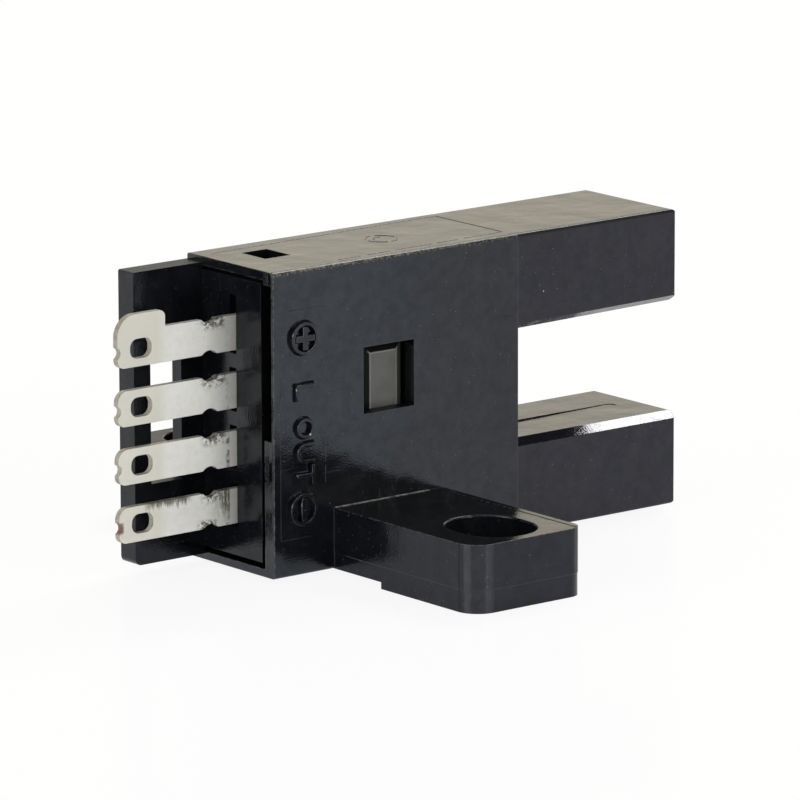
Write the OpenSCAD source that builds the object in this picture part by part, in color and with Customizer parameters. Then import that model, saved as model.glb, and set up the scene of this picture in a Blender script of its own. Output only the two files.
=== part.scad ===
// Slotted optical switch with side tabs and a row of blade terminals.
// Millimetres. The origin is midway between the mounting holes, on the mounting face.
// +X points out of the fork, +Z up, and the face with the indicator window looks to -Y.

/* [Housing] */
// Length of the housing, from the terminal end to the fork tips
case_l = 22.7; // [21:0.1:24]
// Depth of the housing, front to back
case_d = 6; // [5.8:0.1:7]
// Height of the housing's top above the mounting face
case_h = 13.7; // [13.5:0.1:15]
// Height of the housing's underside above the mounting face
foot_h = 0.3; // [0.2:0.05:0.4]
// Front and back wall thickness
wall_side = 0.65; // [0.6:0.05:0.75]
// Top wall thickness
wall_top = 0.4; // [0.35:0.05:0.5]
// Bottom wall thickness
wall_bottom = 0.35; // [0.3:0.05:0.45]
// Wall between a jaw's hollow and the sensing slot
wall_slot = 0.55; // [0.5:0.05:0.65]
// Wall at the fork tips and behind the slot's root
wall_tip = 0.7; // [0.6:0.05:0.8]
// Edge radius of the housing
edge_r = 0.12; // [0.08:0.01:0.18]
// Corner radius at the outer ends of the fork tips
tip_r = 0.35; // [0.15:0.01:0.45]
// Radius of the fork tips' upright edges
tip_side_r = 0.2; // [0.1:0.01:0.3]
// Step from the body's faces to the jaws' faces
jaw_inset = 0.02; // [0.01:0.01:0.04]

/* [Sensing slot] */
// Gap between the jaws
slot_gap = 5; // [4.8:0.1:5.4]
// Depth of the slot from the fork tips
slot_depth = 9.15; // [8.5:0.05:9.5]
// Drop of the upper jaw's slot face from its tip to the slot's root
slot_taper = 0.12; // [0.05:0.01:0.16]
// Height of the slot's middle above the mounting face
slot_z = 7; // [6.9:0.1:7.2]
// Width across the slot faces of the chamfer on the jaws' long edges
slot_chamfer = 0.45; // [0.15:0.01:0.6]
// Height of that chamfer
slot_chamfer_h = 0.3; // [0.15:0.01:0.35]
// Distance of the optical axis from the fork tips
axis_from_tip = 3; // [2.7:0.1:3.2]
// Width of the sensing groove in each jaw
groove_w = 0.68; // [0.5:0.02:0.8]
// Depth of the sensing groove at the slot's root
groove_depth = 0.08; // [0.05:0.01:0.2]
// Depth of the sensing groove at its round end
groove_end_depth = 0.02; // [0.01:0.01:0.05]
// Distance from the fork tips to the groove's round end
groove_end = 1.2; // [0.9:0.1:1.4]

/* [Mounting tabs] */
// Overall width across the two tabs
tab_span = 25; // [24.6:0.1:27]
// Width of a tab
tab_w = 6.1; // [5.7:0.1:6.6]
// Height of the front tab's top above the mounting face
tab_h = 3; // [2.6:0.1:3.4]
// Height of the rear tab's top above the mounting face
rear_tab_h = 3.4; // [2.6:0.1:3.6]
// Distance from the terminal end to the middle of the tabs
tab_from_end = 6.3; // [6:0.1:6.8]
// Length of each mounting pad
pad_l = 6.3; // [6:0.1:7]
// Tip radius on the terminal side
tab_r_end = 1.1; // [0.8:0.1:1.4]
// Tip radius on the fork side
tab_r_fork = 0.7; // [0.5:0.1:1]
// Spacing of the mounting holes
hole_pitch = 19.8; // [19.6:0.1:20]
// Width of a mounting hole
hole_w = 3.5; // [3.2:0.1:3.6]
// Length of a mounting hole
hole_l = 4.2; // [3.8:0.1:4.4]
// Chamfer round a mounting hole's mouth
hole_rim = 0.05; // [0.03:0.01:0.2]
// Height of the parting line round the tabs
parting_z = 1; // [0.8:0.05:1.2]
// Step at the parting line
parting_step = 0.02; // [0.01:0.01:0.05]

/* [Indicator window] */
// Distance from the terminal end to the window's middle
window_x = 6.3; // [6.2:0.02:6.5]
// Height of the window's middle
window_z = 8.36; // [8.2:0.02:8.5]
// Window width
window_w = 2.8; // [2.6:0.02:2.9]
// Window height
window_h = 2.92; // [2.7:0.02:3]
// Light guide width
guide_w = 2.36; // [1.9:0.02:2.5]
// Light guide height
guide_h = 3.4; // [3:0.02:3.6]
// Depth of the bevel round the light guide's face
guide_bevel = 0.27; // [0.2:0.01:0.32]
// Width of that bevel
guide_bevel_w = 0.45; // [0.3:0.01:0.5]
// Light guide's shift towards the fork
guide_dx = 0.23; // [0:0.01:0.3]
// Light guide's drop below the window's middle
guide_drop = 0.28; // [0.1:0.01:0.35]

/* [Terminals] */
// Pitch of the four terminals
pitch = 2.54; // [2.5:0.01:2.6]
// Height of the row's middle
row_z = 6.92; // [6.8:0.02:7.1]
// Blade width
blade_w = 1.55; // [1.4:0.05:1.7]
// Blade thickness
blade_t = 0.3; // [0.25:0.01:0.35]
// Position of the blades' middle plane, front to back
blade_y = -0.25; // [-0.3:0.01:-0.2]
// Reach of the blades from the terminal end
blade_reach = 6.33; // [6:0.01:7]
// Radius of the blade tip's lower corner
blade_r = 0.36; // [0.3:0.01:0.5]
// Radius of the blade tip's upper corner
blade_r_top = 0.5; // [0.35:0.01:0.6]
// Eyelet length
eyelet_l = 1.14; // [1:0.02:1.2]
// Eyelet height
eyelet_h = 0.86; // [0.75:0.01:0.9]
// Eyelet's middle from the blade tip
eyelet_from_tip = 1.24; // [1.2:0.02:1.4]
// Radius of the nicks in the blade edges
nick_r = 0.55; // [0.2:0.01:0.7]
// Depth of the nicks
nick_depth = 0.18; // [0.1:0.01:0.2]
// Nicks' distance from the terminal end
nick_from_end = 1.44; // [1.3:0.02:1.8]
// Rise of the keying shoulder on the positive blade
key_rise = 0.73; // [0.6:0.01:0.8]
// Length of the keying shoulder from the blade tip
key_l = 2.54; // [2.4:0.02:2.9]

/* [Terminal holder] */
// Length of the holder's block inside the housing
holder_l = 3.6; // [3.4:0.1:3.8]
// Gap between the holder and the front and back walls
holder_side_gap = 0.2; // [0.15:0.01:0.25]
// Gap over the holder
holder_top_gap = 0.18; // [0.12:0.01:0.2]
// Gap under the holder
holder_low_gap = 0.25; // [0.2:0.01:0.3]
// Reach of the guard plate from the terminal end
plate_l = 3.76; // [3.4:0.02:4]
// Rise of the guard plate above the housing's hollow
plate_rise = 0.15; // [0.05:0.01:0.2]
// Drop of the guard plate below the housing's hollow
plate_drop = 0.08; // [0:0.01:0.1]
// Guard plate thickness
plate_t = 1.05; // [0.95:0.05:1.1]
// Guard plate's window width
plate_window_w = 1.65; // [1.5:0.01:1.8]
// Guard plate's window height
plate_window_h = 5.7; // [5.4:0.02:6.2]
// Guard plate's window middle from the terminal end
plate_window_x = 2.05; // [1.95:0.01:2.15]
// Latch hole length in the housing's top
latch_l = 1.37; // [1.3:0.01:1.5]
// Latch hole width
latch_w = 1.7; // [1.5:0.05:1.9]
// Latch hole's edge from the terminal end
latch_from_end = 1.7; // [1.6:0.05:1.8]

/* [Circuit] */
// Circuit board thickness
board_t = 0.6; // [0.5:0.05:0.8]
// Lead thickness of the optical packages
lead_t = 0.25; // [0.2:0.01:0.3]
// Length of an optical package along the jaw
pack_l = 2.8; // [2.6:0.1:3]
// Width of an optical package across the jaw
pack_w = 2.4; // [2.2:0.1:2.6]
// Room between an optical package and the jaw's outer wall
pack_gap = 0.4; // [0.3:0.05:0.5]
// Lens radius of an optical package
lens_r = 0.75; // [0.6:0.05:0.8]

/* [Hidden] */
$fn = 48;
cut = 1;
snug = 0.01;

// Heights of the slot, and the hollow that the walls leave
slot_lo = slot_z - slot_gap / 2;
slot_hi = slot_z + slot_gap / 2;
slot_root = case_l - slot_depth;
slot_root_hi = slot_hi - slot_taper;
slot_tilt = atan(slot_taper / slot_depth);
slot_tip_r = 0.1;
inner_y = case_d / 2 - wall_side;
inner_lo = foot_h + wall_bottom;
inner_hi = case_h - wall_top;
jaw_roof = slot_lo - wall_slot;
jaw_floor = slot_hi + wall_slot;
inner_end = slot_root - wall_tip;

// Tabs
tab_x0 = tab_from_end - tab_w / 2;
tab_x1 = tab_from_end + tab_w / 2;

// Holder's block, and the guard plate that is flush with the housing's back
holder_y = inner_y - holder_side_gap;
holder_lo = inner_lo + holder_low_gap;
holder_hi = inner_hi - holder_top_gap;
plate_inset = 0.05;
plate_back = case_d / 2 - plate_inset;
plate_front = plate_back - plate_t;
plate_lo = inner_lo - plate_drop;
plate_hi = inner_hi + plate_rise;
plate_corner_r = 0.3;
plate_top_r = 0.08;
plate_lip_t = 0.63;
plate_lip_w = 0.35;
root_l = 1.5;
root_end_gap = 0.1;
root_y = case_d / 2 - wall_side / 2 - snug;
latch_y = 0.55;
latch_play = 0.03;
latch_sink = 0.26;

// Relief in the front wall at the open end
relief_lip = 0.15;
relief_l = 2;
relief_drop = 0.62;
relief_lo = row_z - relief_drop;
relief_r = 0.2;
relief_hi = inner_hi - relief_r;

// Blades: keyed blade first, from the top down
blade_z = [for (i = [0 : 3]) row_z + pitch * (1.5 - i)];
tail_w = 0.9;
tail_from = 2.2;
tail_end = 5;
eyelet_r = 0.37;
tip_notch_r = 0.26;
tip_notch_sink = 0.16;
tip_notch_drop = 0.1;
key_r_tip = 0.95;
key_r_back = 0.3;
pocket_depth = 0.4;
pocket_gap = 0.18;
key_pocket_gap = 0.85;

// Board between the holder's rails, flat against the blades' tails
board_y0 = blade_y + blade_t / 2;
board_y1 = board_y0 + board_t;
board_end_gap = 0.1;
board_x0 = holder_l + snug;
board_x1 = inner_end - board_end_gap;
rail_h = 0.8;
rail_groove = 0.3;
rail_l = 5.4;
rail_side = 0.7;
board_lo = holder_lo + rail_h - rail_groove + snug;
board_hi = holder_hi - rail_h + rail_groove - snug;

// Optical packages: the lens looks at the slot and the shoulders sit on two rails in the jaw
axis_x = case_l - axis_from_tip;
axis_y = board_y0 - lead_t / 2;
seat_h = 0.65;
seat_w = 0.4;
emitter_lo = jaw_floor + seat_h;
emitter_h = inner_hi - pack_gap - emitter_lo;
emitter_z = emitter_lo + emitter_h / 2;
receiver_hi = jaw_roof - seat_h;
receiver_h = receiver_hi - inner_lo - pack_gap;
receiver_z = receiver_hi - receiver_h / 2;
lead_lap = 1.3;
lead_w = 0.3;
emitter_lead_pitch = emitter_h / 2;
receiver_lead_pitch = receiver_h / 4;
lens_sink = 0.2;

// Light guide over the indicator chip
guide_x = window_x + guide_dx;
guide_z = window_z - guide_drop;
guide_gap = 0.03;
guide_y0 = -inner_y + guide_gap;
led_size = [1.6, 0.6, 0.8];
led_play = 0.1;

// Small components: sizes are length, height off the board and width
chip_size = [1, 0.35, 0.5];
cap_size = [1.6, 0.8, 0.8];
diode_size = [1.7, 0.9, 1.25];
transistor_size = [1.3, 1, 2.9];
ic_size = [1.6, 1.1, 2.9];
foot_l = 0.55;
foot_t = 0.15;
foot_w = 0.4;
foot_pitch = 0.95;
stand_off = 0.1;

// Columns of components on the board's back, the middle one halfway between the other two
column_edge = 0.2;
near_half = diode_size.x / 2 + foot_l;
far_half = chip_size.x / 2;
near_x = board_x0 + column_edge + near_half;
far_x = board_x1 - column_edge - far_half;
middle_x = (near_x + near_half + far_x - far_half) / 2;
chip_shift = 0.6;

// Rectangle from corner a to corner b with a radius for each corner, counted from a
module corner_rect(a, b, radii) {
  corners = [a, [b.x, a.y], b, [a.x, b.y]];
  difference() {
    translate(a) square(b - a);
    for (i = [0 : 3])
      if (radii[i] > 0)
        translate(corners[i]) rotate(90 * i) corner_chip(radii[i]);
  }
}

// What a rounding of radius r takes off a corner at the origin
module corner_chip(r) {
  difference() {
    translate([-cut, -cut]) square(r + cut);
    translate([r, r]) circle(r);
  }
}

// What a chamfer of width w and height h takes off a corner at the origin
module chamfer_chip(w, h) {
  polygon([[-w, -h], [2 * w, -h], [-w, 2 * h]]);
}

// Moves what is measured from the terminal end into the part's frame
module in_frame() {
  translate([-tab_from_end, 0, 0]) children();
}

// Box between two corners
module box(a, b) {
  translate(a) cube(b - a);
}

// Extrudes an X-Z outline from y0 to y1
module along_y(y0, y1) {
  translate([0, y1, 0]) rotate([90, 0, 0]) linear_extrude(y1 - y0) children();
}

// Extrudes a Y-Z outline from x0 to x1
module along_x(x0, x1) {
  translate([x0, 0, 0]) rotate([90, 0, 90]) linear_extrude(x1 - x0) children();
}

// Side view of the housing: a block with the sensing slot cut in, all tips rounded
module fork_outline() {
  difference() {
    corner_rect([0, foot_h], [case_l, case_h], [0, tip_r, tip_r, 0]);
    polygon([
      [slot_root, slot_lo], [case_l + cut, slot_lo],
      [case_l + cut, slot_hi], [case_l, slot_hi], [slot_root, slot_root_hi]
    ]);
    translate([case_l, slot_lo]) rotate(180) corner_chip(slot_tip_r);
    translate([case_l, slot_hi]) rotate(90) corner_chip(slot_tip_r);
  }
}

// Outside of the body and the two jaws, with the long edges rounded or chamfered
module fork_solid() {
  half = case_d / 2;
  intersection() {
    along_y(-half, half) fork_outline();
    union() {
      along_x(-cut, slot_root)
        corner_rect([-half, foot_h], [half, case_h], [edge_r, edge_r, edge_r, edge_r]);
      jaw(foot_h, slot_lo, [edge_r, edge_r, 0, 0]);
      jaw(slot_root_hi, case_h, [0, 0, edge_r, edge_r]);
    }
    linear_extrude(case_h + cut)
      corner_rect([-cut, -half], [case_l, half], [0, tip_side_r, tip_side_r, 0]);
  }
}

// Jaw from z0 to z1 with its outer edges rounded and its slot edges chamfered
module jaw(z0, z1, radii) {
  half = case_d / 2 - jaw_inset;
  difference() {
    along_x(slot_root, case_l + cut) corner_rect([-half, z0], [half, z1], radii);
    translate([slot_root, 0, slot_lo]) mirror([0, 0, 1]) slot_edges(half);
    translate([slot_root, 0, slot_root_hi]) rotate([0, -slot_tilt, 0]) slot_edges(half);
  }
}

// What the chamfers take off the two long edges of a slot face, from the slot's root
module slot_edges(half) {
  along_x(-cut, slot_depth + 2 * cut) {
    translate([-half, 0]) chamfer_chip(slot_chamfer, slot_chamfer_h);
    translate([half, 0]) mirror([1, 0, 0]) chamfer_chip(slot_chamfer, slot_chamfer_h);
  }
}

// Plan of the two tabs, drawn in by the given step
module tab_plan(step) {
  corner_rect(
    [tab_x0 + step, -tab_span / 2 + step], [tab_x1 - step, tab_span / 2 - step],
    [tab_r_end - step, tab_r_fork - step, tab_r_fork - step, tab_r_end - step]
  );
}

// Tabs on both sides, with a pad under each tip
module tabs() {
  for (side = [[-tab_span, 0, tab_h], [0, tab_span, rear_tab_h]])
    translate([0, 0, parting_z]) linear_extrude(side[2] - parting_z) intersection() {
      tab_plan(0);
      translate([0, side[0]]) square([case_l, side[1] - side[0]]);
    }
  translate([0, 0, foot_h]) linear_extrude(parting_z - foot_h) tab_plan(parting_step);
  difference() {
    linear_extrude(foot_h) tab_plan(parting_step);
    box([0, -tab_span / 2 + pad_l, -cut], [case_l, tab_span / 2 - pad_l, foot_h + cut]);
  }
}

// Slotted mounting holes, long across the part, with chamfered mouths
module mounting_holes() {
  reach = (hole_l - hole_w) / 2;
  for (side = [[-1, tab_h], [1, rear_tab_h]])
    translate([tab_from_end, side[0] * hole_pitch / 2, 0]) {
      slotted_hole(reach, -cut, side[1] + cut, 0);
      slotted_hole(reach, side[1] - hole_rim, side[1] + cut, hole_rim + cut);
    }
}

// Slot from z0 to z1 that widens by the given amount towards its top
module slotted_hole(reach, z0, z1, widen) {
  r = hole_w / 2;
  h = z1 - z0;
  translate([0, 0, z0]) {
    for (end = [-reach, reach])
      translate([0, end, 0]) cylinder(r1 = r, r2 = r + widen, h = h);
    along_y(-reach, reach) polygon([[-r, 0], [r, 0], [r + widen, h], [-r - widen, h]]);
  }
}

// Hollow of the body and of the two jaws, open at the terminal end
module hollow() {
  jaw_end = case_l - wall_tip;
  box([-cut, -inner_y, inner_lo], [inner_end, inner_y, inner_hi]);
  box([inner_end - cut, -inner_y, inner_lo], [jaw_end, inner_y, jaw_roof]);
  box([inner_end - cut, -inner_y, jaw_floor], [jaw_end, inner_y, inner_hi]);
}

// Sensing groove along a slot face at z = 0, cut upwards: round at the tip end and shallower there
module sensing_groove() {
  end_x = case_l - groove_end;
  half = groove_w / 2;
  intersection() {
    linear_extrude(groove_depth) translate([0, axis_y])
      corner_rect([slot_root, -half], [end_x, half], [0, half, half, 0]);
    along_y(axis_y - groove_w, axis_y + groove_w)
      polygon([
        [slot_root - cut, -cut], [case_l, -cut],
        [end_x, groove_end_depth], [slot_root, groove_depth], [slot_root - cut, groove_depth]
      ]);
  }
}

// Two rails in a jaw that an optical package sits on
module package_seat(z0) {
  for (side = [-1, 1])
    translate([axis_x - pack_l / 2, axis_y + side * (pack_w - seat_w) / 2 - seat_w / 2, z0])
      cube([pack_l, seat_w, seat_h]);
}

module housing() {
  color([0.07, 0.07, 0.08]) in_frame() {
    difference() {
      union() {
        fork_solid();
        tabs();
      }
      mounting_holes();
      hollow();
      box([window_x - window_w / 2, -case_d, window_z - window_h / 2],
          [window_x + window_w / 2, -inner_y + cut / 2, window_z + window_h / 2]);
      box([latch_from_end, latch_y - latch_w / 2, inner_hi - cut / 2],
          [latch_from_end + latch_l, latch_y + latch_w / 2, case_h + cut]);
      along_y(-case_d / 2 + relief_lip, -inner_y + cut / 4)
        corner_rect([-cut, relief_lo], [relief_l, relief_hi], [0, relief_r, relief_r, 0]);
      box([-cut, inner_y - cut / 4, inner_lo], [root_l + root_end_gap, root_y + snug, inner_hi]);
      translate([0, 0, slot_lo]) mirror([0, 0, 1]) sensing_groove();
      translate([0, 0, slot_hi]) sensing_groove();
    }
    package_seat(jaw_floor);
    package_seat(jaw_roof - seat_h);
  }
}

// Outline of the guard plate with its window
module plate_outline() {
  difference() {
    corner_rect([-plate_l, plate_lo], [0, plate_hi], [plate_corner_r, 0, 0, plate_top_r]);
    plate_window(0);
  }
}

// Window behind the middle terminals, widened by the given lip
module plate_window(lip) {
  translate([-plate_window_x, row_z])
    square([plate_window_w + 2 * lip, plate_window_h + 2 * lip], center = true);
}

// Rail that holds one long edge of the circuit board
module board_rail(z0, groove_z) {
  difference() {
    box([holder_l - cut / 4, board_y0 - rail_side, z0],
        [holder_l + rail_l, board_y1 + rail_side, z0 + rail_h]);
    box([holder_l, board_y0 - snug, groove_z],
        [holder_l + rail_l + cut, board_y1 + snug, groove_z + rail_groove]);
  }
}

// Snap latch: a ramp that rises towards the terminal end
module latch() {
  x0 = latch_from_end + latch_play;
  x1 = latch_from_end + latch_l - latch_play;
  half = latch_w / 2 - latch_play;
  base = holder_hi - cut / 4;
  along_y(latch_y - half, latch_y + half)
    polygon([[x0, base], [x1, base], [x1, holder_hi], [x0, case_h - latch_sink]]);
}

module terminal_holder() {
  color([0.09, 0.09, 0.1]) in_frame() difference() {
    union() {
      box([0, -holder_y, holder_lo], [holder_l, holder_y, holder_hi]);
      box([0, plate_front, holder_lo], [root_l, root_y, holder_hi]);
      along_y(plate_front, plate_back) plate_outline();
      latch();
      board_rail(holder_hi - rail_h, holder_hi - rail_h);
      board_rail(holder_lo, holder_lo + rail_h - rail_groove);
    }
    along_y(plate_front + plate_lip_t, plate_back + cut) plate_window(plate_lip_w);
    for (i = [0 : 3]) {
      z = blade_z[i];
      rise = i == 0 ? key_pocket_gap : pocket_gap;
      box([-cut, board_y0 - blade_t - snug, z - blade_w / 2 - snug],
          [tail_from + snug, board_y0 + snug, z + blade_w / 2 + snug]);
      box([0, board_y0 - blade_t - snug, z - tail_w / 2 - snug],
          [holder_l + cut, board_y0 + snug, z + tail_w / 2 + snug]);
      box([-cut, board_y0 - blade_t - snug, z - blade_w / 2 - pocket_gap],
          [pocket_depth, board_y0 + pocket_gap, z + blade_w / 2 + rise]);
    }
  }
}

// Side view of a blade with its middle line on z = 0, its tail running into the housing
module blade_outline() {
  tip_x = -blade_reach;
  eyelet_x = tip_x + eyelet_from_tip;
  difference() {
    union() {
      corner_rect([tip_x, -blade_w / 2], [tail_from, blade_w / 2], [blade_r, 0, 0, blade_r_top]);
      translate([tail_from - cut / 2, -tail_w / 2]) square([tail_end - tail_from + cut / 2, tail_w]);
      children();
    }
    corner_rect([eyelet_x - eyelet_l / 2, -eyelet_h / 2], [eyelet_x + eyelet_l / 2, eyelet_h / 2],
                [eyelet_r, eyelet_r, eyelet_r, eyelet_r]);
    for (side = [-1, 1])
      translate([-nick_from_end, side * (blade_w / 2 + nick_r - nick_depth)]) circle(nick_r);
    translate([tip_x - tip_notch_r + tip_notch_sink, -tip_notch_drop]) circle(tip_notch_r);
  }
}

// Blade number i, counted from the top
module blade(i) {
  color([0.8, 0.79, 0.75]) in_frame()
    translate([0, 0, blade_z[i]]) along_y(board_y0 - blade_t, board_y0) blade_outline() children();
}

// Shoulder on the top edge that keys the connector
module key_shoulder() {
  corner_rect([-blade_reach, 0], [-blade_reach + key_l, blade_w / 2 + key_rise],
              [0, 0, key_r_back, key_r_tip]);
}

module positive_terminal() { blade(0) key_shoulder(); }
module light_terminal() { blade(1); }
module output_terminal() { blade(2); }
module negative_terminal() { blade(3); }

// Section of the light guide across a width: y runs from its bevelled face back to the board
module guide_section(width) {
  half = width / 2;
  depth = board_y0 - guide_y0;
  polygon([
    [-half, depth], [-half, guide_bevel], [guide_bevel_w - half, 0],
    [half - guide_bevel_w, 0], [half, guide_bevel], [half, depth]
  ]);
}

// Light guide before the pocket: the two sections crossed
module guide_block() {
  translate([guide_x, guide_y0, guide_z]) intersection() {
    translate([0, 0, -guide_h / 2]) linear_extrude(guide_h) guide_section(guide_w);
    rotate([0, 90, 0]) translate([0, 0, -guide_w / 2]) linear_extrude(guide_w) guide_section(guide_h);
  }
}

module light_guide() {
  color([0.55, 0.56, 0.56]) in_frame() difference() {
    guide_block();
    translate([guide_x, board_y0, guide_z])
      cube([led_size.x + 2 * led_play, 2 * (led_size.y + led_play), led_size.z + 2 * led_play],
           center = true);
  }
}

module indicator_led() {
  color([0.85, 0.83, 0.78]) in_frame()
    translate([guide_x - led_size.x / 2, board_y0 - led_size.y, guide_z - led_size.z / 2])
      cube(led_size);
}

module circuit_board() {
  color([0.1, 0.35, 0.2]) in_frame() box([board_x0, board_y0, board_lo], [board_x1, board_y1, board_hi]);
}

// Optical package of height h with its lens side at face: up is 1 for a lens that looks up, else -1
module optical_package(face, h, up) {
  in_frame() {
    translate([axis_x - pack_l / 2, axis_y - pack_w / 2, up > 0 ? face - h : face])
      cube([pack_l, pack_w, h]);
    intersection() {
      translate([axis_x, axis_y, face - up * lens_sink]) sphere(lens_r);
      translate([axis_x, axis_y, face + up * lens_r]) cube(2 * lens_r, center = true);
    }
  }
}

// Lead lapped on the board and running along the jaw into its package
module lead(z) {
  color([0.78, 0.78, 0.76]) in_frame()
    box([board_x1 - lead_lap, board_y0 - lead_t, z - lead_w / 2],
        [axis_x - pack_l / 2, board_y0, z + lead_w / 2]);
}

module infrared_emitter() { color([0.75, 0.8, 0.9]) optical_package(emitter_lo, emitter_h, -1); }
module emitter_anode_lead() { lead(emitter_z + emitter_lead_pitch / 2); }
module emitter_cathode_lead() { lead(emitter_z - emitter_lead_pitch / 2); }
module photo_receiver() { color([0.12, 0.1, 0.12]) optical_package(receiver_hi, receiver_h, 1); }
module receiver_supply_lead() { lead(receiver_z + receiver_lead_pitch); }
module receiver_output_lead() { lead(receiver_z); }
module receiver_ground_lead() { lead(receiver_z - receiver_lead_pitch); }

// Moulded component on the board's back: body on its feet, which stick out along X
module on_feet(x, z, size, feet_left, feet_right) {
  in_frame() translate([x, board_y1, z]) {
    translate([-size.x / 2, stand_off, -size.z / 2]) cube([size.x, size.y - stand_off, size.z]);
    for (dz = feet_left)
      translate([-size.x / 2 - foot_l, 0, dz - foot_w / 2]) cube([foot_l + foot_w, foot_t, foot_w]);
    for (dz = feet_right)
      translate([size.x / 2 - foot_w, 0, dz - foot_w / 2]) cube([foot_l + foot_w, foot_t, foot_w]);
  }
}

// Two-ended chip flat on the board's back
module chip(x, z, size) {
  in_frame() translate([x - size.x / 2, board_y1, z - size.z / 2]) cube(size);
}

module driver_ic() {
  rows = [-foot_pitch, 0, foot_pitch];
  color([0.1, 0.1, 0.1]) on_feet(middle_x, row_z, ic_size, rows, rows);
}

module output_transistor() {
  color([0.1, 0.1, 0.1])
    on_feet(near_x, row_z - pitch, transistor_size, [-foot_pitch, foot_pitch], [0]);
}

module surge_diode() {
  color([0.12, 0.12, 0.12]) on_feet(near_x, row_z + pitch, diode_size, [0], [0]);
}

module emitter_resistor() {
  color([0.15, 0.15, 0.16]) chip(far_x, row_z + pitch, chip_size);
}

module indicator_resistor() {
  color([0.15, 0.15, 0.16]) chip(near_x, row_z + chip_shift, chip_size);
}

module pull_up_resistor() {
  color([0.15, 0.15, 0.16]) chip(far_x, row_z - pitch, chip_size);
}

module bypass_capacitor() {
  color([0.6, 0.5, 0.38]) chip(middle_x, row_z - pitch - chip_shift, cap_size);
}

housing();
terminal_holder();
positive_terminal();
light_terminal();
output_terminal();
negative_terminal();
light_guide();
indicator_led();
circuit_board();
infrared_emitter();
emitter_anode_lead();
emitter_cathode_lead();
photo_receiver();
receiver_supply_lead();
receiver_output_lead();
receiver_ground_lead();
driver_ic();
output_transistor();
surge_diode();
emitter_resistor();
indicator_resistor();
pull_up_resistor();
bypass_capacitor();
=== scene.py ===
"""Looks of a slotted optical switch: finishes, raised marks, witness lines, studio and camera."""

import math
import random

import bmesh
import bpy
from mathutils import Matrix, Vector


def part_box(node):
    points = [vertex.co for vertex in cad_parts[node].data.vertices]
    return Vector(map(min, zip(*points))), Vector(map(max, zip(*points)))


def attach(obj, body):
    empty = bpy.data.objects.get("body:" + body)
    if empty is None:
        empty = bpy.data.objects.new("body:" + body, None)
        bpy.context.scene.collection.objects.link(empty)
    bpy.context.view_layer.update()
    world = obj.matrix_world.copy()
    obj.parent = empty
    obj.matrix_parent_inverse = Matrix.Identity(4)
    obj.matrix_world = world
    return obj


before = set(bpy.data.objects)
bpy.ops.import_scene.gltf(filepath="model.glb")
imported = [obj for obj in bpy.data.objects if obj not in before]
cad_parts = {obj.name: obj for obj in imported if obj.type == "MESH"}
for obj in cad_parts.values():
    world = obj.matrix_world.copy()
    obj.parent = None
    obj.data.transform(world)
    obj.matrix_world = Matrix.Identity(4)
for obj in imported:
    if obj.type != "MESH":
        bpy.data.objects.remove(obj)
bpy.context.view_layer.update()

MM = 0.001

# Places on the housing, in millimetres: terminal end, top face, front face, root of the sensing slot
END_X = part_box("housing")[0].x / MM
TOP_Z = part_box("housing")[1].z / MM
FRONT_Y = -3.0
ROOT_X = END_X + 13.55

# Indicator window: middle and height of its sill, half its width, and the light guide's face behind it
SILL_X = END_X + 6.3
SILL_Z = 6.9
SILL_HALF = 1.4
GUIDE_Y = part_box("light_guide")[0].y / MM

# Front tab: its tip, top, fork side and the line where the mould's halves met
TAB_TIP_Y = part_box("housing")[0].y / MM
TAB_TOP_Z = 3.0
TAB_FORK_X = 9.35
PARTING_Z = 1.0

# Camera that was fitted to the photograph, for a frame of 800 by 800 pixels
FRAME_PX = 800
FOCAL_PX = 7525.738
SENSOR_MM = 36.0
AZIMUTH = math.radians(-38.844)
ELEVATION = math.radians(12.477)
ROLL = math.radians(-0.156)
DISTANCE_MM = 329.176
TARGET_MM = Vector((3.029, 0.0, 6.377))


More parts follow.
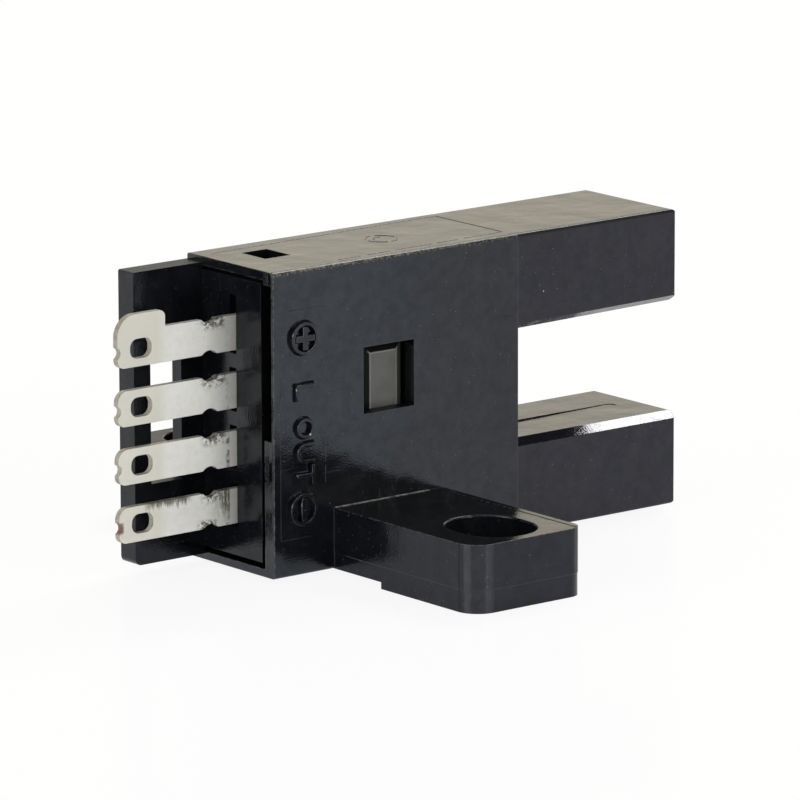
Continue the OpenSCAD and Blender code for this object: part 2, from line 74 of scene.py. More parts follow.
class Shader:
    """A node material with short calls for the nodes that the finishes share.

    Textures work in millimetres.
    """

    def __init__(self, name):
        self.material = bpy.data.materials.new(name)
        self.material.use_nodes = True
        self.tree = self.material.node_tree
        self.bsdf = self.tree.nodes["Principled BSDF"]
        coordinates = self.add("ShaderNodeTexCoord")
        self.place = self.mapped(coordinates.outputs["Object"], (1 / MM,) * 3)

    def add(self, kind, **settings):
        node = self.tree.nodes.new(kind)
        for key, value in settings.items():
            setattr(node, key, value)
        return node

    def put(self, socket, value):
        """Links an output to the socket, or writes a plain value on it."""
        if isinstance(value, bpy.types.NodeSocket):
            self.tree.links.new(value, socket)
        else:
            socket.default_value = value

    def set(self, **values):
        for key, value in values.items():
            self.put(self.bsdf.inputs[key.replace("_", " ")], value)

    def mapped(self, vector, scale, shift=(0, 0, 0)):
        node = self.add("ShaderNodeMapping")
        self.put(node.inputs["Vector"], vector)
        node.inputs["Scale"].default_value = scale
        node.inputs["Location"].default_value = shift
        return node.outputs["Vector"]

    def noise(self, scale, detail=3.0, rough=0.55, stretch=(1, 1, 1), shift=(0, 0, 0)):
        node = self.add("ShaderNodeTexNoise")
        self.put(node.inputs["Vector"], self.mapped(self.place, stretch, shift))
        node.inputs["Scale"].default_value = scale
        node.inputs["Detail"].default_value = detail
        node.inputs["Roughness"].default_value = rough
        return node.outputs["Fac"]

    def cells(self, scale, stretch=(1, 1, 1)):
        """Voronoi cells: distance from the cell's point and a random value for the cell."""
        node = self.add("ShaderNodeTexVoronoi")
        self.put(node.inputs["Vector"], self.mapped(self.place, stretch))
        node.inputs["Scale"].default_value = scale
        return node.outputs["Distance"], self.part(node.outputs["Color"], "Red")

    def part(self, colour, channel):
        node = self.add("ShaderNodeSeparateColor")
        self.put(node.inputs["Color"], colour)
        return node.outputs[channel]

    def axis(self, name):
        """One coordinate in millimetres."""
        node = self.add("ShaderNodeSeparateXYZ")
        self.put(node.inputs["Vector"], self.place)
        return node.outputs[name]

    def facing(self, name):
        """One coordinate of the surface's own normal."""
        geometry = self.add("ShaderNodeNewGeometry")
        node = self.add("ShaderNodeSeparateXYZ")
        self.put(node.inputs["Vector"], geometry.outputs["True Normal"])
        return node.outputs[name]

    def near(self, value, middle, half, soft):
        """1 within half of the middle, fading out over soft."""
        return self.span(self.math("ABSOLUTE", self.math("SUBTRACT", value, middle)), half + soft, half)

    def times(self, first, *others):
        for other in others:
            first = self.math("MULTIPLY", first, other)
        return first

    def math(self, operation, a, b=0.0, c=0.0):
        node = self.add("ShaderNodeMath", operation=operation)
        for socket, value in zip(node.inputs, (a, b, c)):
            self.put(socket, value)
        return node.outputs["Value"]

    def span(self, value, low, high, to_low=0.0, to_high=1.0):
        """Carries a range over to another one, smoothly and clamped."""
        node = self.add("ShaderNodeMapRange", interpolation_type="SMOOTHSTEP")
        for key, number in zip(("Value", "From Min", "From Max", "To Min", "To Max"),
                               (value, low, high, to_low, to_high)):
            self.put(node.inputs[key], number)
        return node.outputs["Result"]

    def mix(self, share, a, b):
        node = self.add("ShaderNodeMix", data_type="RGBA")
        self.put(node.inputs["Factor"], share)
        self.put(node.inputs["A"], a if isinstance(a, bpy.types.NodeSocket) else (*a, 1.0))
        self.put(node.inputs["B"], b if isinstance(b, bpy.types.NodeSocket) else (*b, 1.0))
        return next(o for o in node.outputs if o.type == "RGBA")

    def round_normal(self, radius):
        node = self.add("ShaderNodeBevel", samples=6)
        node.inputs["Radius"].default_value = radius * MM
        return node.outputs["Normal"]

    def edges(self, radius, start=0.995, full=0.86):
        """1 on edges and corners, 0 on flat faces: how far a rounded normal leans from the true one."""
        geometry = self.add("ShaderNodeNewGeometry")
        node = self.add("ShaderNodeVectorMath", operation="DOT_PRODUCT")
        self.put(node.inputs[0], geometry.outputs["Normal"])
        self.put(node.inputs[1], self.round_normal(radius))
        return self.span(node.outputs["Value"], start, full)

    def bump(self, height, depth, normal=None):
        node = self.add("ShaderNodeBump")
        node.inputs["Strength"].default_value = 1.0
        node.inputs["Distance"].default_value = depth * MM
        self.put(node.inputs["Height"], height)
        if normal is not None:
            self.put(node.inputs["Normal"], normal)
        return node.outputs["Normal"]


def rubbed_and_highlit(s, front, tab):
    """Rubbed places and a painted highlight: ragged upper front edge, open end, faintly all edges, and on
    the tabs' upper edges a painted highlight that is partly wear.
    """
    x, z = s.axis("X"), s.axis("Z")
    body = s.span(x, ROOT_X + 0.1, ROOT_X - 0.1)
    band = s.times(s.span(z, TOP_Z - 0.35, TOP_Z - 0.05), front, body)
    ragged = s.span(s.math("ADD", s.noise(7.0, 6.0, 0.75), s.times(band, 0.25)), 0.68, 0.8)
    ragged = s.times(ragged, s.span(x, END_X + 4.0, ROOT_X, 0.7, 0.45))
    open_end = s.times(s.span(x, END_X + 0.25, END_X + 0.1), 0.6)
    # Painted highlight along the tabs' upper edges, partly wear, chipped and in the rubbed colour
    tab_edge_highlight = s.times(tab, s.span(z, TAB_TOP_Z - 0.3, TAB_TOP_Z - 0.15), 0.5)
    other_edges = 0.12
    share = s.math("MAXIMUM", s.math("MAXIMUM", open_end, tab_edge_highlight), other_edges)
    chips = s.span(s.noise(4.0, 5.0, 0.7), 0.42, 0.6)
    return s.math("MAXIMUM", s.times(s.edges(0.1), chips, share), ragged)


def mirror_tint_and_shade(s, rim, tab, sill, upward):
    """Tint of the reflections: bluish by the terminals, weaker towards the fork; painted shade dims it on
    the tabs, rim and sill.
    """
    x = s.axis("X")
    side, tip = s.math("ABSOLUTE", s.facing("X")), s.math("ABSOLUTE", s.facing("Y"))
    corner = s.times(s.span(side, 0.1, 0.3), s.span(tip, 0.1, 0.3))
    # Painted shade: the tabs' reflections are dimmed, most on their sides, less on their tops and tip,
    # least round the front corner
    tab_painted_shade = s.mix(upward, (0.28, 0.31, 0.39), (0.45, 0.48, 0.56))
    tab_painted_shade = s.mix(s.span(tip, 0.6, 0.95), tab_painted_shade, (0.47, 0.5, 0.6))
    tab_painted_shade = s.mix(corner, tab_painted_shade, (0.78, 0.8, 0.86))
    tint = s.mix(s.span(x, END_X + 0.5, ROOT_X - 0.2), (0.79, 0.88, 1.0), (0.68, 0.73, 0.84))
    tint = s.mix(s.span(x, ROOT_X - 0.05, ROOT_X + 0.05), tint, (0.63, 0.63, 0.76))
    tint = s.mix(tab, tint, tab_painted_shade)
    smudge = s.span(s.noise(1.8, 6.0, 0.75, shift=(2.0, 9.0, 4.0)), 0.4, 0.65)
    tint = s.mix(s.times(smudge, 0.3), tint, (0.2, 0.22, 0.28))
    # Painted shade: the reflections along the top-front rim are dimmed, warmer by the terminal end and
    # darker towards the fork
    rim_painted_shade = s.mix(s.span(x, END_X + 5.0, ROOT_X - 2.0), (0.5, 0.48, 0.44), (0.25, 0.25, 0.26))
    tint = s.mix(rim, tint, rim_painted_shade)
    # Painted shade: the window sill's reflections are dimmed to a tenth
    return s.mix(sill, tint, (0.1, 0.1, 0.1))


def moulded_black(name, rough=0.075, dust=1.0, wear_and_highlight=1.0, soft=0.04, shine=1.0, matt_top=0.0):
    """Black moulded plastic: polished over a coarse grain, clouded, with specks, rubbed edges, a painted
    highlight on the tabs' upper edges and painted shade in its reflections.
    """
    s = Shader(name)
    x, y, z = s.axis("X"), s.axis("Y"), s.axis("Z")
    front = s.span(y, FRONT_Y + 0.35, FRONT_Y + 0.15)
    tab_start, tab_full = 0.1 - FRONT_Y, 0.3 - FRONT_Y
    tab = s.span(s.math("ABSOLUTE", y), tab_start, tab_full)
    upward = s.span(s.facing("Z"), 0.7, 0.95)
    rim = s.times(s.span(z, TOP_Z - 0.2, TOP_Z - 0.1), front)
    sill = s.times(upward, s.near(z, SILL_Z, 0.02, 0.02), s.near(x, SILL_X, SILL_HALF, 0.02))

    cloud = s.span(s.noise(0.8, 6.0, 0.72, shift=(7.0, 2.0, 5.0)), 0.42, 0.75)
    near, pick = s.cells(0.9)
    specks = s.times(s.span(near, 0.06, 0.03), s.span(pick, 0.82, 0.83))
    fine_near, fine_pick = s.cells(4.0)
    fine = s.times(s.span(fine_near, 0.14, 0.04), s.span(fine_pick, 0.4, 1.0))
    worn_and_highlit = rubbed_and_highlit(s, front, tab)
    colour = s.mix(cloud, (0.0034, 0.0040, 0.0054), (0.0085, 0.0092, 0.0108))
    colour = s.mix(s.times(fine, 0.8 * dust), colour, (0.13, 0.13, 0.13))
    colour = s.mix(s.times(specks, 0.8 * dust), colour, (0.5, 0.49, 0.47))
    # Rubbed colour on worn edges, and a painted highlight on the tabs' upper edges
    colour = s.mix(s.times(worn_and_highlit, 0.6 * wear_and_highlight), colour, (0.3, 0.28, 0.24))

    scratch = s.span(s.noise(1.0, 2.0, 0.5, stretch=(0.5, 9.0, 9.0), shift=(3.0, 1.0, 2.0)), 0.67, 0.72)
    gloss = s.math("ADD", s.span(cloud, 0.0, 1.0, rough, rough + 0.04), s.times(scratch, 0.05))
    gloss = s.math("ADD", gloss, s.times(s.math("MAXIMUM", s.math("MAXIMUM", specks, worn_and_highlit), rim), 0.3))
    dull = s.math("MAXIMUM", s.times(s.span(y, tab_start, tab_full), 0.35), matt_top)
    gloss = s.math("ADD", gloss, s.math("ADD", s.times(upward, dull), s.times(sill, 0.4)))

    # In the shading, the front face leans a little by the terminals and the lower slot chamfer is flatter
    grain = s.noise(13.0, 2.0, 0.5)
    wave = s.noise(0.45, 2.0, 0.5)
    sag = s.times(s.span(z, 2.0, 8.0), s.span(x, END_X + 6.5, END_X + 0.5), front, 16.0)
    chamfer = s.times(s.span(s.facing("Z"), 0.75, 0.8), s.span(s.facing("Y"), -0.45, -0.5))
    relief = s.math("ADD", s.math("ADD", grain, s.times(wave, 10.0)), sag)
    relief = s.math("ADD", relief, s.math("ADD", s.times(scratch, -0.3), s.times(chamfer, z, -58.0)))
    s.set(
        Base_Color=colour, Roughness=gloss, IOR=1.5, Specular_IOR_Level=0.7 * shine,
        Specular_Tint=mirror_tint_and_shade(s, rim, tab, sill, upward),
        Normal=s.bump(relief, 0.006, s.round_normal(soft)),
    )
    return s.material


def tinned(name, seed, middle, tone, mark=0.3, smear=0.0, copper=0.0):
    """Satin tin plate on a blade whose middle line is at the given height.

    Warm by the eyelet and whiter by the root, grey-brown on the cut edges, dark stains by the upper
    nick and a dark line at the root. The bottom blade is smeared and shows copper at its tip.
    """
    s = Shader(name)
    x = s.axis("X")
    up = s.math("SUBTRACT", s.axis("Z"), middle)
    grain = s.noise(9.0, 4.0, 0.6, stretch=(0.35, 1.0, 1.6), shift=(seed, 0, seed))
    cloud = s.span(s.noise(0.6, 4.0, 0.6, shift=(seed * 2, 0, 1)), 0.3, 0.7)
    mottle = s.span(s.noise(3.2, 5.0, 0.75, shift=(seed, 1, 0)), 0.4, 0.7)
    by_root = s.span(x, END_X - 4.3, END_X - 3.6)
    cut_edge = s.span(s.math("ABSOLUTE", s.facing("Y")), 0.75, 0.5)

    blots = s.span(s.noise(6.0, 4.0, 0.65, shift=(seed, 4.0, seed * 3)), 0.43, 0.56)
    by_nick = s.times(s.near(x, END_X - 1.2, 0.35, 0.55), s.span(up, 0.15, 0.55), blots)
    near, pick = s.cells(2.4)
    pits = s.times(s.span(near, 0.11, 0.04), s.span(pick, 0.75, 0.77))
    gaps = s.span(s.noise(3.0, 4.0, 0.7, shift=(0, 0, seed)), 0.4, 0.6)
    line = s.times(s.near(x, END_X - 0.5, 0.03, 0.12), gaps)

    strokes = s.noise(1.0, 4.0, 0.7, stretch=(7.0, 1.0, 1.1), shift=(seed, 0, 0))
    hanging = s.math("ADD", s.times(strokes, 0.5), s.times(up, 0.45))
    streak = s.times(s.span(hanging, 0.44, 0.58), s.near(x, END_X - 3.7, 0.9, 0.5))
    rub = s.times(s.span(strokes, 0.36, 0.56), s.span(x, END_X - 1.5, END_X - 0.55))
    rub = s.times(rub, s.span(x, END_X - 0.36, END_X - 0.44), s.span(up, -0.75, 0.2))
    crumbs = s.times(blots, s.near(x, END_X - 1.6, 0.2, 0.5), s.span(up, -0.3, -0.55))
    smears = s.math("MAXIMUM", s.times(streak, 0.85), s.math("MAXIMUM", s.times(rub, 0.9), crumbs))

    def shade(*colour):
        return tuple(tone * c for c in colour)

    colour = s.mix(by_root, shade(0.69, 0.68, 0.6), shade(0.8, 0.8, 0.77))
    colour = s.mix(s.times(cloud, 0.2), colour, shade(0.62, 0.61, 0.55))
    colour = s.mix(s.times(mottle, s.span(by_root, 0.0, 1.0, 0.08, 0.25)), colour, shade(0.55, 0.55, 0.52))
    edge_share = s.span(mottle, 0.0, 1.0, 0.6, 0.95)
    colour = s.mix(s.times(cut_edge, edge_share), colour, (0.24, 0.22, 0.18))
    dirt = s.math("MAXIMUM", s.times(by_nick, 0.9), s.times(line, mark))
    dirt = s.math("MAXIMUM", dirt, s.math("MAXIMUM", s.times(pits, 0.35), s.times(smears, smear)))
    colour = s.mix(dirt, colour, (0.04, 0.04, 0.022))
    tip = s.math("ADD", s.times(mottle, 0.1), s.math("SUBTRACT", x, END_X - 6.1))
    tip = s.times(s.span(tip, 0.06, -0.06), s.near(up, -0.1, 0.16, 0.16), copper)
    colour = s.mix(tip, colour, (0.16, 0.06, 0.04))
    s.set(
        Base_Color=colour, Metallic=0.4, IOR=1.5,
        Roughness=s.math("ADD", s.span(grain, 0.3, 0.7, 0.36, 0.46), s.times(dirt, 0.3)),
        Normal=s.bump(s.math("ADD", grain, s.times(dirt, -0.2)), 0.003, s.round_normal(0.03)),
    )
    return s.material


def frosted(name):
    """Frosted light guide: its face is cloudy grey, its flanks carry painted shade, with a painted
    highlight line between.
    """
    s = Shader(name)
    cloud = s.noise(0.7, 4.0, 0.6)
    frost = s.noise(20.0, 2.0, 0.6)
    face = s.span(s.facing("Y"), -0.9, -0.98)
    colour = s.mix(s.span(cloud, 0.3, 0.7), (0.062, 0.062, 0.06), (0.09, 0.09, 0.086))
    # Painted shade: the flanks are near black, olive grey where they face +X
    flank_painted_shade = s.mix(s.span(s.facing("X"), 0.2, 0.5), (0.004, 0.004, 0.003), (0.06, 0.06, 0.046))
    colour = s.mix(face, flank_painted_shade, colour)
    # Painted highlight: a pale line where the face meets its flanks
    by_face = s.span(s.axis("Y"), GUIDE_Y + 0.08, GUIDE_Y + 0.03)
    colour = s.mix(s.times(s.edges(0.08, 0.999, 0.98), by_face), colour, (0.28, 0.28, 0.26))
    s.set(
        Base_Color=colour, Roughness=s.span(frost, 0.3, 0.7, 0.3, 0.42), IOR=1.5,
        Specular_IOR_Level=s.span(face, 0.0, 1.0, 0.12, 0.5),
        Normal=s.bump(frost, 0.002, s.round_normal(0.05)),
    )
    return s.material


def speckled(name, dark, light, scale, rough, depth, metallic=0.0):
    """Plain technical finish for the pieces inside: two shades in a fine grain."""
    s = Shader(name)
    grain = s.noise(scale, 4.0, 0.65)
    s.set(
        Base_Color=s.mix(s.span(grain, 0.35, 0.65), dark, light), Metallic=metallic,
        Roughness=s.span(s.noise(scale * 0.2), 0.3, 0.7, rough, rough + 0.15),
        Normal=s.bump(grain, depth, s.round_normal(0.03)),
    )
    return s.material


def solder_mask(name):
    """Green board with paler tracks under the mask."""
    s = Shader(name)
    near, pick = s.cells(0.8, stretch=(1.0, 0.2, 1.6))
    tracks = s.times(s.near(near, 0.42, 0.03, 0.02), pick)
    weave = s.noise(7.0, 3.0, 0.6)
    colour = s.mix(s.span(weave, 0.3, 0.7), (0.012, 0.085, 0.035), (0.018, 0.11, 0.045))
    s.set(
        Base_Color=s.mix(tracks, colour, (0.04, 0.2, 0.08)), Roughness=s.span(weave, 0.3, 0.7, 0.28, 0.4),
        Normal=s.bump(s.math("ADD", weave, tracks), 0.006, s.round_normal(0.03)),
    )
    return s.material


def clear_resin(name):
    """Clear moulded resin with faint flow lines."""
    s = Shader(name)
    flow = s.noise(1.2, 3.0, 0.5, stretch=(1.0, 1.0, 3.0))
    s.set(
        Base_Color=s.mix(flow, (0.8, 0.86, 0.95), (0.92, 0.95, 1.0)), Transmission_Weight=0.85, IOR=1.5,
        Roughness=s.span(flow, 0.3, 0.7, 0.04, 0.12), Normal=s.bump(flow, 0.004, s.round_normal(0.05)),
    )
    return s.material


def dress(nodes, material):
    """Gives CAD nodes their finish."""
    for name in nodes:
        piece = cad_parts[name]
        piece.data.materials.clear()
        piece.data.materials.append(material)


BLADE_PITCH = 2.54
ROW_Z = 6.92
HOUSING = moulded_black("black_housing")
dress(["housing"], HOUSING)
HOLDER = moulded_black("black_holder", dust=0.6, wear_and_highlight=0.0, soft=0.012, shine=0.55, matt_top=0.4)
dress(["terminal_holder"], HOLDER)
dress(["positive_terminal"], tinned("tin_positive", 1.0, ROW_Z + 1.5 * BLADE_PITCH, 0.87, mark=0.1))
dress(["light_terminal"], tinned("tin_light", 2.7, ROW_Z + 0.5 * BLADE_PITCH, 0.92))
dress(["output_terminal"], tinned("tin_output", 4.1, ROW_Z - 0.5 * BLADE_PITCH, 1.0, mark=0.85))
dress(
    ["negative_terminal"],
    tinned("tin_negative", 5.6, ROW_Z - 1.5 * BLADE_PITCH, 0.98, mark=0.8, smear=1.0, copper=0.9),
)
dress(["light_guide"], frosted("frosted_guide"))
dress(["indicator_led"], speckled("led_body", (0.7, 0.68, 0.6), (0.82, 0.8, 0.74), 6.0, 0.4, 0.003))
dress(["circuit_board"], solder_mask("board"))
dress(["infrared_emitter"], clear_resin("clear_package"))
dress(
    ["photo_receiver"],
    speckled("dark_package", (0.012, 0.01, 0.012), (0.02, 0.016, 0.02), 3.0, 0.1, 0.001),
)
dress(
    ["emitter_anode_lead", "emitter_cathode_lead",
     "receiver_supply_lead", "receiver_output_lead", "receiver_ground_lead"],
    speckled("lead_frame", (0.62, 0.62, 0.6), (0.74, 0.74, 0.71), 12.0, 0.25, 0.002, metallic=1.0),
)
dress(
    ["driver_ic", "output_transistor", "surge_diode"],
    speckled("moulded_component", (0.01, 0.01, 0.01), (0.025, 0.025, 0.026), 10.0, 0.5, 0.004),
)
dress(
    ["emitter_resistor", "indicator_resistor", "pull_up_resistor"],
    speckled("chip_resistor", (0.012, 0.012, 0.014), (0.03, 0.03, 0.034), 8.0, 0.35, 0.003),
)
dress(
    ["bypass_capacitor"],
    speckled("chip_capacitor", (0.3, 0.2, 0.1), (0.36, 0.25, 0.14), 8.0, 0.4, 0.003),
)


def add_piece(name, mesh, material=None):
    """Puts a new piece of the object into the scene."""
    piece = bpy.data.objects.new(name, mesh)
    bpy.context.scene.collection.objects.link(piece)
    mesh.materials.append(material or HOUSING)
    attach(piece, "root")
    return piece


# Raised marks on the front face: outlines of their flat tops, which sloping walls run out from
MARK_RISE = 0.2
MARK_SINK = 0.05
MARK_SLOPE = 0.09
RING_R = 0.71
RING_STROKE = 0.13
SIGN_REACH = 0.5
SIGN_STROKE = 0.26
LETTER_LOW = 1.15
LETTER_HIGH = 2.06
LETTER_STROKE = 0.13
LETTER_HALF = 0.43
L_HALF = 0.33
PLUS_X = 1.6
PLUS_Z = 10.69
MINUS_X = 1.5
MINUS_Z = 3.2


def arc(x, z, rx, rz, start, end, steps=28):
    """Points along an ellipse's arc, in degrees."""
    angles = [math.radians(start + (end - start) * i / steps) for i in range(steps + 1)]
    return [(x + rx * math.cos(a), z + rz * math.sin(a)) for a in angles]


def loop(x, z, rx, rz):
    return arc(x, z, rx, rz, 0, 360)[:-1]


def ring(x, z):
    inner = RING_R - RING_STROKE
    return [loop(x, z, RING_R, RING_R), loop(x, z, inner, inner)]


def bar(x0, z0, x1, z1):
    return [(x0, z0), (x1, z0), (x1, z1), (x0, z1)]


def plus_sign(x, z):
    a, b = SIGN_REACH, SIGN_STROKE / 2
    quarter = [(a, -b), (a, b), (b, b)]
    turns = [(1, 0), (0, 1), (-1, 0), (0, -1)]
    return [[(x + p * c - q * d, z + p * d + q * c) for c, d in turns for p, q in quarter]]


def letter_l(z):
    low, high, w = LETTER_LOW, LETTER_HIGH, LETTER_STROKE
    top, foot = z + L_HALF, z - L_HALF
    return [[(low, top), (low, foot), (low + w, foot), (low + w, top - w), (high, top - w), (high, top)]]


def letter_o(z):
    half = (LETTER_HIGH - LETTER_LOW) / 2
    middle = (LETTER_HIGH + LETTER_LOW) / 2
    w = LETTER_STROKE
    return [loop(middle, z, half, LETTER_HALF), loop(middle, z, half - w, LETTER_HALF - w)]


def letter_u(z):
    r = LETTER_HALF
    inner = r - LETTER_STROKE
    x = LETTER_LOW + r
    outer_side = [(LETTER_HIGH, z + r)] + arc(x, z, r, r, 90, 270) + [(LETTER_HIGH, z - r)]
    inner_side = [(LETTER_HIGH, z - inner)] + arc(x, z, inner, inner, 270, 90) + [(LETTER_HIGH, z + inner)]
    return [outer_side + inner_side]


def letter_t(z):
    low, high, w, r = LETTER_LOW, LETTER_HIGH, LETTER_STROKE, LETTER_HALF
    return [[
        (low, z - w / 2), (high - w, z - w / 2), (high - w, z - r), (high, z - r),
        (high, z + r), (high - w, z + r), (high - w, z + w / 2), (low, z + w / 2),
    ]]


def raised(name, outlines):
    """A mark that stands out of the front face with sloping walls, from outlines in x and z."""
    curve = bpy.data.curves.new(name, "CURVE")
    curve.dimensions = "2D"
    curve.fill_mode = "BOTH"
    curve.bevel_depth = MARK_SLOPE * MM
    curve.bevel_resolution = 0
    for outline in outlines:
        spline = curve.splines.new("POLY")
        spline.points.add(len(outline) - 1)
        spline.use_cyclic_u = True
        for point, (x, z) in zip(spline.points, outline):
            point.co = ((END_X + x) * MM, z * MM, 0.0, 1.0)
    draft = bpy.data.objects.new(name + "_draft", curve)
    bpy.context.scene.collection.objects.link(draft)
    graph = bpy.context.evaluated_depsgraph_get()
    mesh = bpy.data.meshes.new_from_object(draft.evaluated_get(graph))
    bpy.data.objects.remove(draft)
    for vertex in mesh.vertices:
        vertex.co.z *= (MARK_RISE if vertex.co.z > 0 else MARK_SINK) / MARK_SLOPE
    mesh.transform(Matrix.Translation((0, FRONT_Y * MM, 0)) @ Matrix.Rotation(math.radians(90), 4, "X"))
    mesh.materials.clear()
    add_piece(name, mesh)


def marks():
    """Function marks by the terminals, read from the fork's side: supply, light, output, ground."""
    raised("mark_plus_ring", ring(PLUS_X, PLUS_Z))
    raised("mark_plus", plus_sign(PLUS_X, PLUS_Z))
    raised("mark_l", letter_l(8.36))
    raised("mark_o", letter_o(6.76))
    raised("mark_u", letter_u(5.67))
    raised("mark_t", letter_t(4.7))
    raised("mark_minus_ring", ring(MINUS_X, MINUS_Z))
    b = SIGN_STROKE / 2
    raised("mark_minus", [bar(MINUS_X - b, MINUS_Z - SIGN_REACH, MINUS_X + b, MINUS_Z + SIGN_REACH)])


# Witness lines that the mould's inserts left: width, sunk depth and rise on each kind of face
LINE_W = 0.045
LINE_SINK = 0.02
TOP_RISE = 0.015
SIDE_RISE = 0.012
BOX_RISE = 0.01
EJECTOR_X = 8.3
EJECTOR_R = 0.72
JAW_LINE_X = 19.68


def prism(bm, first, second):
    """A solid bar between two rings of points in millimetres."""
    first, second = ([bm.verts.new(p * MM) for p in ring_points] for ring_points in (first, second))
    for i in range(len(first)):
        k = (i + 1) % len(first)
        bm.faces.new((first[i], second[i], second[k], first[k]))
    bm.faces.new(first)
    bm.faces.new(second[::-1])


def closed(name, bm):
    """Turns the bars into a mesh with its faces outwards."""
    bmesh.ops.recalc_face_normals(bm, faces=bm.faces)
    mesh = bpy.data.meshes.new(name)
    bm.to_mesh(mesh)
    bm.free()
    return mesh


def strip(bm, a, b, out, height):
    """A low ridge with sloping sides from a to b on a face that looks along out."""
    side = (b - a).normalized().cross(out) * LINE_W / 2
    rings = []
    for end in (a, b):
        low, high = end - out * LINE_SINK, end + out * height
        rings.append((low - side, high - side / 2, high + side / 2, low + side))
    prism(bm, *rings)


def lines(name, runs, out, height):
    """One piece with a ridge for each run, which is a pair of points with x from the terminal end."""
    bm = bmesh.new()
    shift = Vector((END_X, 0, 0))
    for a, b in runs:
        strip(bm, shift + Vector(a), shift + Vector(b), Vector(out), height)
    add_piece(name, closed(name, bm))


def fillet(name, x0, x1, width, height):
    """A thin sloping bead where the front tab's top meets the front face, painted pale as a highlight."""
    profile = [(FRONT_Y, height), (FRONT_Y - width, 0.0), (FRONT_Y, -LINE_SINK)]
    bm = bmesh.new()
    prism(bm, *([Vector((END_X + x, y, TAB_TOP_Z + z)) for y, z in profile] for x in (x0, x1)))
    # Painted highlight: the bead's pale grey stands in for light along its slope
    pale = speckled("painted_highlight_bead", (0.05, 0.05, 0.05), (0.24, 0.24, 0.23), 3.0, 0.3, 0.002)
    add_piece(name, closed(name, bm), material=pale)


def broken(a, b, stretch, gap, rng):
    """Cuts a run into stretches of uneven length with gaps between them."""
    a, b = Vector(a), Vector(b)
    length = (b - a).length
    at = 0.0
    runs = []
    while at < length:
        end = min(length, at + stretch * rng.uniform(0.4, 1.6))
        runs.append((a.lerp(b, at / length), a.lerp(b, end / length)))
        at = end + gap * rng.uniform(0.3, 1.7)
    return runs


def witness_lines():
    """Lines of the mould's inserts on the top, the front, the jaws and the front tab."""
    rng = random.Random(4)
    first_x, last_x = 0.65, 13.36
    near_end, far_end = (last_x, -2.15, TOP_Z), (last_x, 2.45, TOP_Z)
    top = broken((first_x, 2.1, TOP_Z), far_end, 2.5, 0.1, rng) + [(far_end, near_end)]
    top += broken((4.0, -2.42, TOP_Z), near_end, 0.9, 0.25, rng)
    lines("top_lines", top, (0, 0, 1), TOP_RISE)

    ejector = []
    for radius, first, last in ((EJECTOR_R, 0, 360), (EJECTOR_R / 2, 60, 180)):
        turn = arc(EJECTOR_X, 0.0, radius, radius, first, last, (last - first) // 15)
        points = [(x, y, TOP_Z) for x, y in turn]
        ejector += [pair for i, pair in enumerate(zip(points, points[1:])) if i % 6 != 5]
    lines("ejector_mark", ejector, (0, 0, 1), TOP_RISE)

    left, right, low, high = 0.36, 2.8, 1.95, 11.95
    y = FRONT_Y
    box = [((left, y, low), (left, y, high - 2.6)), ((left, y, low), (2.1, y, low))]
    box += broken((left + 0.5, y, high), (right, y, high), 0.9, 0.1, rng)
    box += broken((right, y, 4.2), (right, y, 6.4), 0.7, 0.2, rng)
    lines("mark_box_lines", box, (0, -1, 0), BOX_RISE)

    jaw_y = FRONT_Y + 0.02
    jaw = broken((JAW_LINE_X, jaw_y, 9.95), (JAW_LINE_X, jaw_y, 13.2), 0.8, 0.15, rng)
    lines("jaw_lines", jaw, (0, -1, 0), SIDE_RISE)

    # The bead at the tab's root is painted pale as a highlight
    fillet("tab_root_line", 3.3, 8.5, 0.08, 0.04)
    insert_x = TAB_FORK_X - 0.35
    insert_y = TAB_TIP_Y + 0.094
    on_top = [((insert_x, FRONT_Y - 0.2, TAB_TOP_Z), (insert_x, insert_y, TAB_TOP_Z))]
    lines("tab_top_line", on_top, (0, 0, 1), TOP_RISE)
    on_corner = [((insert_x, insert_y, TAB_TOP_Z - 0.05), (insert_x, insert_y, PARTING_Z))]
    lines("tab_tip_line", on_corner, (0.5, -0.866, 0), SIDE_RISE)


def lamp(name, place, width, height, radiance):
    """A soft rectangular lamp that looks at the object, as bright all over as the radiance says."""
    light = bpy.data.lights.new(name, "AREA")
    light.shape = "RECTANGLE"
    light.size = width
    light.size_y = height
    light.energy = radiance * math.pi * width * height
    holder = bpy.data.objects.new(name, light)
    bpy.context.scene.collection.objects.link(holder)
    holder.location = place
    holder.rotation_euler = (-Vector(place)).to_track_quat("-Z", "Y").to_euler()


def around(bearing, height, distance):
    """A place around the object: bearing from +X in degrees, and height above the floor in degrees."""
    a, e = math.radians(bearing), math.radians(height)
    out = distance * math.cos(e)
    return (out * math.cos(a), out * math.sin(a), distance * math.sin(e))


def pale_floor():
    """Smooth floor: nearly white to the camera, with the object's shadow, and greyer in reflections."""
    bpy.ops.mesh.primitive_plane_add(size=4.0)
    floor = bpy.context.object
    floor.name = "floor"
    s = Shader("pale_floor")
    s.set(Base_Color=(0.9, 0.9, 0.9, 1.0), Roughness=0.2)
    white = s.add("ShaderNodeEmission")
    white.inputs["Color"].default_value = (1.0, 1.0, 1.0, 1.0)
    path = s.add("ShaderNodeLightPath")
    mirrored = s.math("MAXIMUM", path.outputs["Is Glossy Ray"], path.outputs["Is Transmission Ray"])
    seen = s.math("MAXIMUM", s.times(path.outputs["Is Camera Ray"], 0.9), s.times(mirrored, 0.55))
    blend = s.add("ShaderNodeMixShader")
    s.put(blend.inputs["Fac"], seen)
    s.put(blend.inputs[1], s.bsdf.outputs["BSDF"])
    s.put(blend.inputs[2], white.outputs["Emission"])
    s.put(s.tree.nodes["Material Output"].inputs["Surface"], blend.outputs["Shader"])
    floor.data.materials.append(s.material)


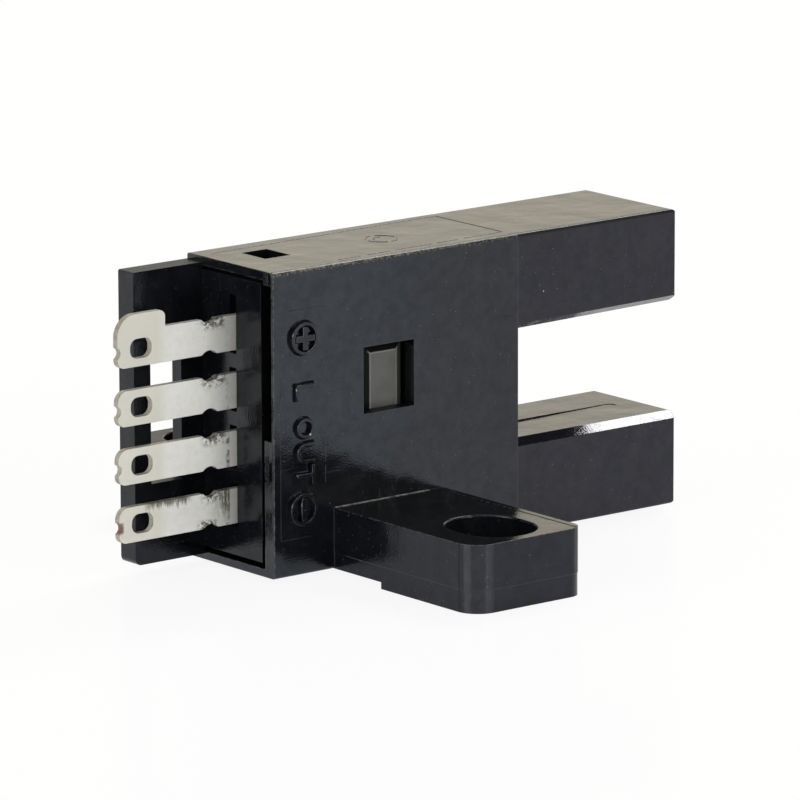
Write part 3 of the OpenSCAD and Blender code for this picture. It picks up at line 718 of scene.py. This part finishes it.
def surroundings():
    """Soft fill light, white to the camera, and in reflections a warm wall that is darker in front."""
    world = bpy.data.worlds.new("surroundings")
    world.use_nodes = True
    bpy.context.scene.world = world
    tree = world.node_tree
    add, link = tree.nodes.new, tree.links.new

    def blend(share, first, second):
        node = add("ShaderNodeMixShader")
        for socket, output in zip(node.inputs, (share, first, second)):
            link(output, socket)
        return node.outputs["Shader"]

    ambient = tree.nodes["Background"]
    ambient.inputs["Color"].default_value = (1.0, 0.98, 0.95, 1.0)
    ambient.inputs["Strength"].default_value = 0.45
    wall = add("ShaderNodeBackground")
    wall.inputs["Color"].default_value = (0.93, 0.865, 0.71, 1.0)
    backdrop = add("ShaderNodeBackground")
    backdrop.inputs["Color"].default_value = (1.0, 1.0, 1.0, 1.0)

    direction = add("ShaderNodeTexCoord")
    split = add("ShaderNodeSeparateXYZ")
    link(direction.outputs["Generated"], split.inputs["Vector"])
    depth = add("ShaderNodeMapRange")
    for key, number in (("From Min", -0.2), ("From Max", 0.3), ("To Min", 0.3), ("To Max", 1.0)):
        depth.inputs[key].default_value = number
    link(split.outputs["Y"], depth.inputs["Value"])
    link(depth.outputs["Result"], wall.inputs["Strength"])

    path = add("ShaderNodeLightPath")
    mirrored = add("ShaderNodeMath")
    mirrored.operation = "MAXIMUM"
    link(path.outputs["Is Glossy Ray"], mirrored.inputs[0])
    link(path.outputs["Is Transmission Ray"], mirrored.inputs[1])
    lit = blend(mirrored.outputs["Value"], ambient.outputs["Background"], wall.outputs["Background"])
    seen = blend(path.outputs["Is Camera Ray"], lit, backdrop.outputs["Background"])
    link(seen, tree.nodes["World Output"].inputs["Surface"])


def lamps():
    """A soft lamp on either side of the camera and one overhead."""
    lamp("left_lamp", around(184, 20, 0.4), 0.22, 0.16, 5.5)
    lamp("front_lamp", around(284, 20, 0.4), 0.24, 0.16, 6.0)
    lamp("top_lamp", around(20, 49, 0.4), 0.16, 0.16, 11.0)


def camera():
    """The photograph's own view."""
    out = math.cos(ELEVATION)
    back = Vector((math.sin(AZIMUTH) * out, -math.cos(AZIMUTH) * out, math.sin(ELEVATION)))
    level = Vector((math.cos(AZIMUTH), math.sin(AZIMUTH), 0.0))
    upright = back.cross(level)
    right = math.cos(ROLL) * level + math.sin(ROLL) * upright
    up = math.cos(ROLL) * upright - math.sin(ROLL) * level
    lens = bpy.data.cameras.new("camera")
    lens.sensor_width = SENSOR_MM
    lens.lens = FOCAL_PX / FRAME_PX * SENSOR_MM
    lens.clip_start = 0.01
    lens.clip_end = 10.0
    body = bpy.data.objects.new("camera", lens)
    bpy.context.scene.collection.objects.link(body)
    place = (TARGET_MM + back * DISTANCE_MM) * MM
    body.matrix_world = Matrix.Translation(place) @ Matrix((right, up, back)).transposed().to_4x4()
    bpy.context.scene.camera = body


marks()
witness_lines()
pale_floor()
surroundings()
lamps()
camera()
bpy.context.scene.view_settings.view_transform = "Standard"
